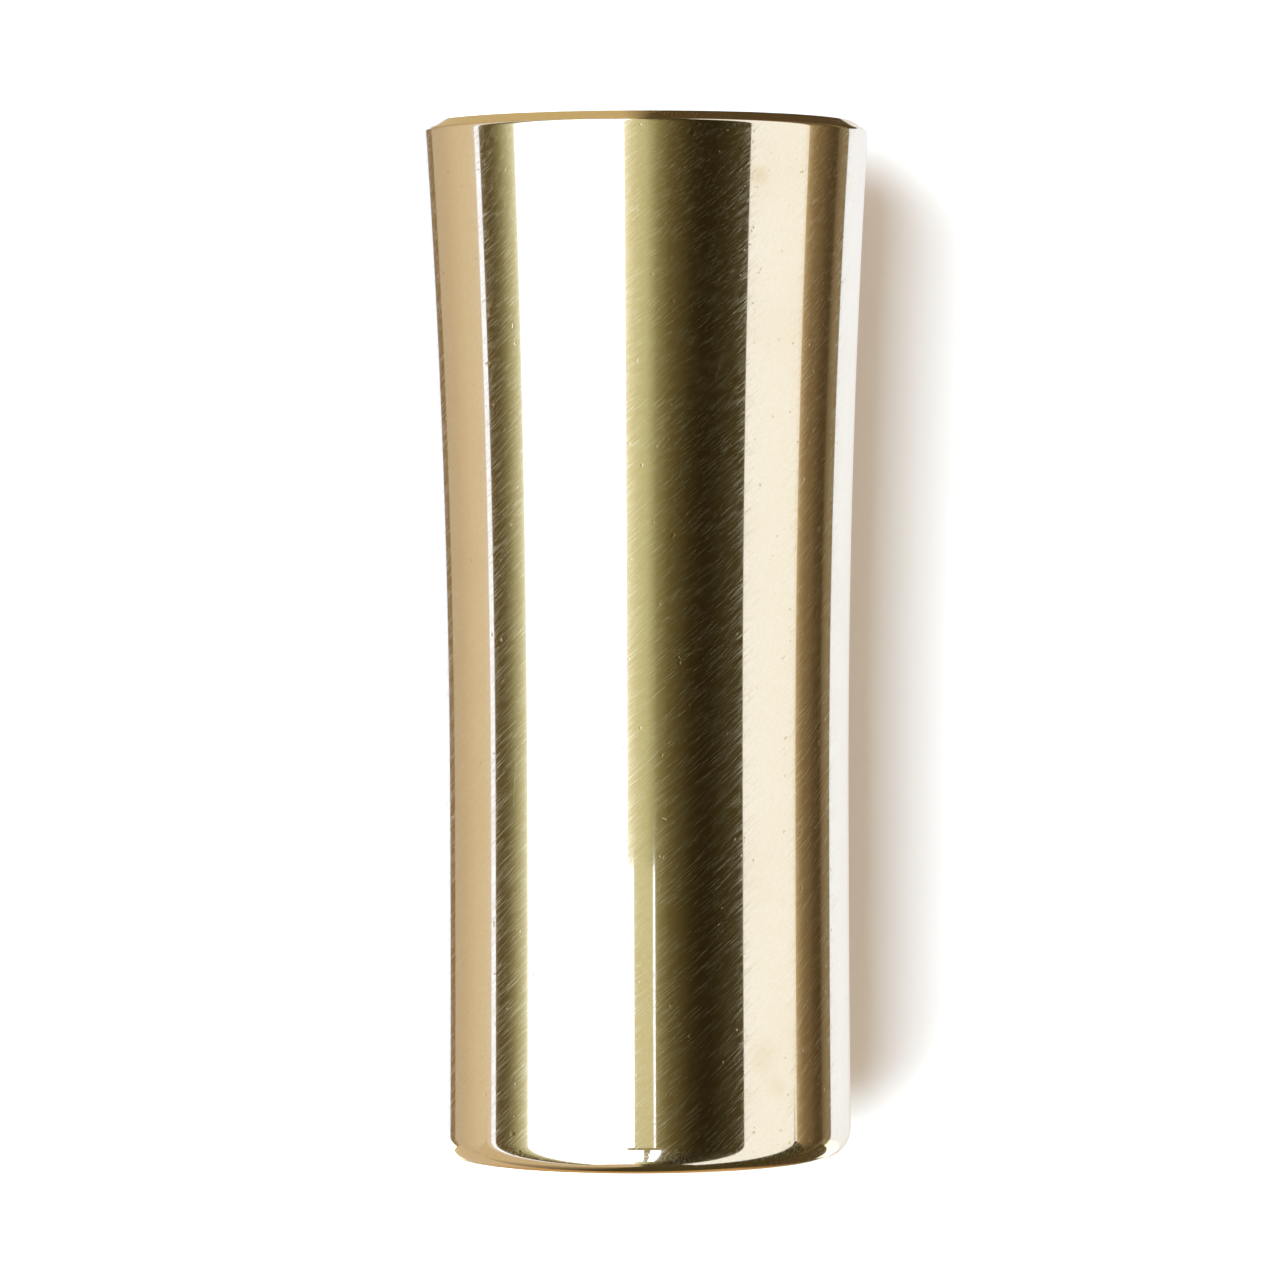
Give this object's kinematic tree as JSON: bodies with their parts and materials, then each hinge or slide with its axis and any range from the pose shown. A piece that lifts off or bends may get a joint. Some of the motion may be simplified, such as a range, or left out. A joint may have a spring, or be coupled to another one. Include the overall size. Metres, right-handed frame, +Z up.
{
  "type": "guitar slide",
  "caption": "Solid brass guitar slide: a thick-walled tube, open at both ends, with a slight waist, a small bevel on its flared end and a polished round on its plain end.",
  "frame": {"origin": "on the bore's centre line, halfway along the slide's length, which is the centre of its bounding box", "axes": "+Y along the bore towards the flared end, +Z up with the slide lying on its side, +X across it"},
  "size_m": [0.0294, 0.066, 0.0294],
  "materials": {
    "polished_brass": "mirror polished by hand, with fine diagonal hairlines and a few small dings"
  },
  "bodies": {
    "root": {"slide_body": "polished_brass"}
  },
  "joints": []
}
